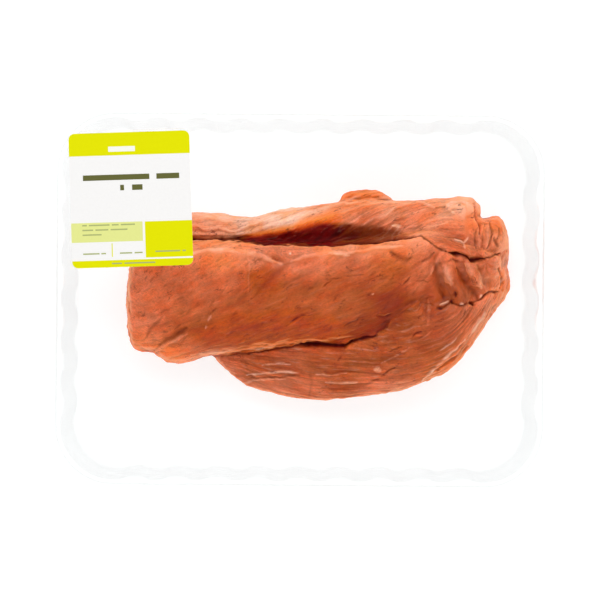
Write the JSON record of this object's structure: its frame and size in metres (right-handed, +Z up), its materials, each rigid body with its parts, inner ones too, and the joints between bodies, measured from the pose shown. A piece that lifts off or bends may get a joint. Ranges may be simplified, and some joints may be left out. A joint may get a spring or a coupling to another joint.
{
  "type": "meat tray pack",
  "caption": "Sealed clear plastic tray with ribbed walls, a folded raw pork tenderloin inside, a clear top film and a price label.",
  "frame": {"origin": "middle of the pack in plan, on the surface that the tray stands on", "axes": "+X along the long side, +Y across towards the edge with the label, +Z up through the film"},
  "size_m": [0.227, 0.178, 0.0512],
  "materials": {
    "tray_plastic": "clear, glossy",
    "raw_pork": "moist raw meat",
    "top_film": "clear, glossy, thin",
    "label_paper": "coated paper"
  },
  "bodies": {
    "root": {"tray": "tray_plastic", "tenderloin": "raw_pork", "film": "top_film", "label": "label_paper"}
  },
  "joints": []
}
